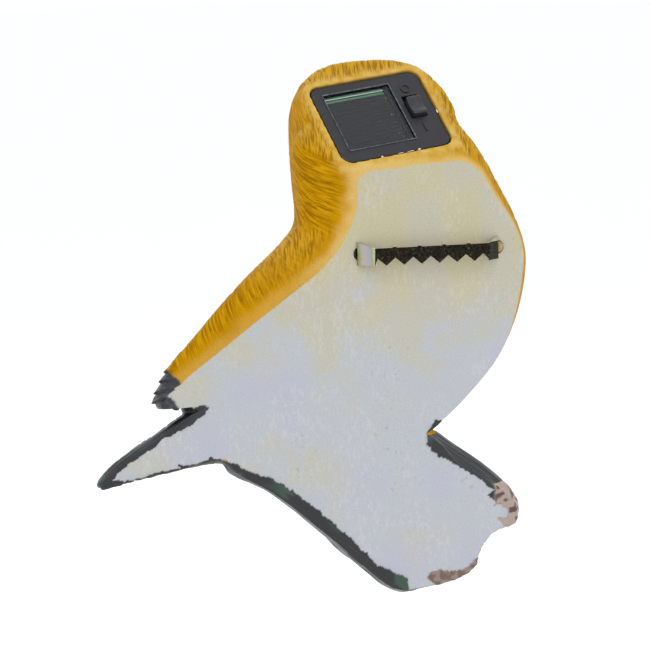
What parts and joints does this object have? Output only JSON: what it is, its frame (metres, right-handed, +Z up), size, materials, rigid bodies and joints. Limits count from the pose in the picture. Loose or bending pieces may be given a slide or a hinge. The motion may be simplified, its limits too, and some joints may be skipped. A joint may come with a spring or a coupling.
{
  "type": "solar bird wall plaque",
  "caption": "Flat-backed cast resin songbird perched on a leafy branch, with a solar light module let into the back of its head and a sawtooth wall hanger.",
  "frame": {"origin": "where the wall nail passes under the middle of the sawtooth hanger, on the plane of the casting's flat back", "axes": "+Y out of the flat back towards the wall, so the bird's front faces -Y; +Z up; +X to the right as seen from the front, the side that the tail points to"},
  "size_m": [0.1941, 0.079, 0.2205],
  "materials": {
    "cast_resin": "cast and painted, satin, with a bare matt back",
    "black_abs": "fine satin moulded surface",
    "zinc_screw_steel": "zinc plated",
    "silicone_sealant": "cured, satin",
    "green_fr4": "solder-masked laminate",
    "solar_silicon": "anti-reflection coated silicon",
    "tinned_copper": "bright tinned",
    "clear_epoxy": "clear cast epoxy, slightly domed",
    "black_knob_abs": "satin moulded surface",
    "switch_steel": "nickel plated",
    "phenolic": "paper-phenolic laminate",
    "black_epoxy": "moulded epoxy",
    "inductor_lacquer": "lacquered ferrite",
    "cell_sleeve": "shrunk plastic sleeve",
    "red_pvc": "insulated wire",
    "black_pvc": "insulated wire",
    "lamp_epoxy": "clear epoxy lens",
    "yellow_zinc_steel": "yellow-passivated zinc plate, iridescent",
    "set_cement": "set resin cement, matt"
  },
  "bodies": {
    "root": {"resin_casting": "cast_resin", "module_bezel": "black_abs", "module_tub": "black_abs", "tub_screw_1": "zinc_screw_steel", "tub_screw_2": "zinc_screw_steel", "tub_screw_3": "zinc_screw_steel", "tub_screw_4": "zinc_screw_steel", "sealant_bead": "silicone_sealant", "solar_board": "green_fr4", "silicon_wafer": "solar_silicon", "cell_ribbon": "tinned_copper", "panel_cover": "clear_epoxy", "switch_can": "switch_steel", "switch_base": "phenolic", "circuit_board": "phenolic", "switch_pin_1": "tinned_copper", "switch_pin_2": "tinned_copper", "switch_pin_3": "tinned_copper", "driver_chip": "black_epoxy", "inductor": "inductor_lacquer", "nimh_cell": "cell_sleeve", "cell_contact_plus": "tinned_copper", "cell_contact_minus": "tinned_copper", "solar_wire_red": "red_pvc", "solar_wire_black": "black_pvc", "cell_wire_red": "red_pvc", "cell_wire_black": "black_pvc", "eye_lamp_left": "lamp_epoxy", "eye_lamp_right": "lamp_epoxy", "lamp_wire_left_red": "red_pvc", "lamp_wire_left_black": "black_pvc", "lamp_wire_right_red": "red_pvc", "lamp_wire_right_black": "black_pvc", "sawtooth_hanger": "yellow_zinc_steel", "anchor_plug_left": "set_cement", "anchor_plug_right": "set_cement"},
    "knob": {"switch_knob": "black_knob_abs", "switch_contact": "tinned_copper"}
  },
  "joints": [
    {"name": "switch_slide", "type": "slide", "parent": "root", "child": "knob", "axis": [0.1219, -0.659, 0.7422], "range_m": [0, 0.002]}
  ]
}
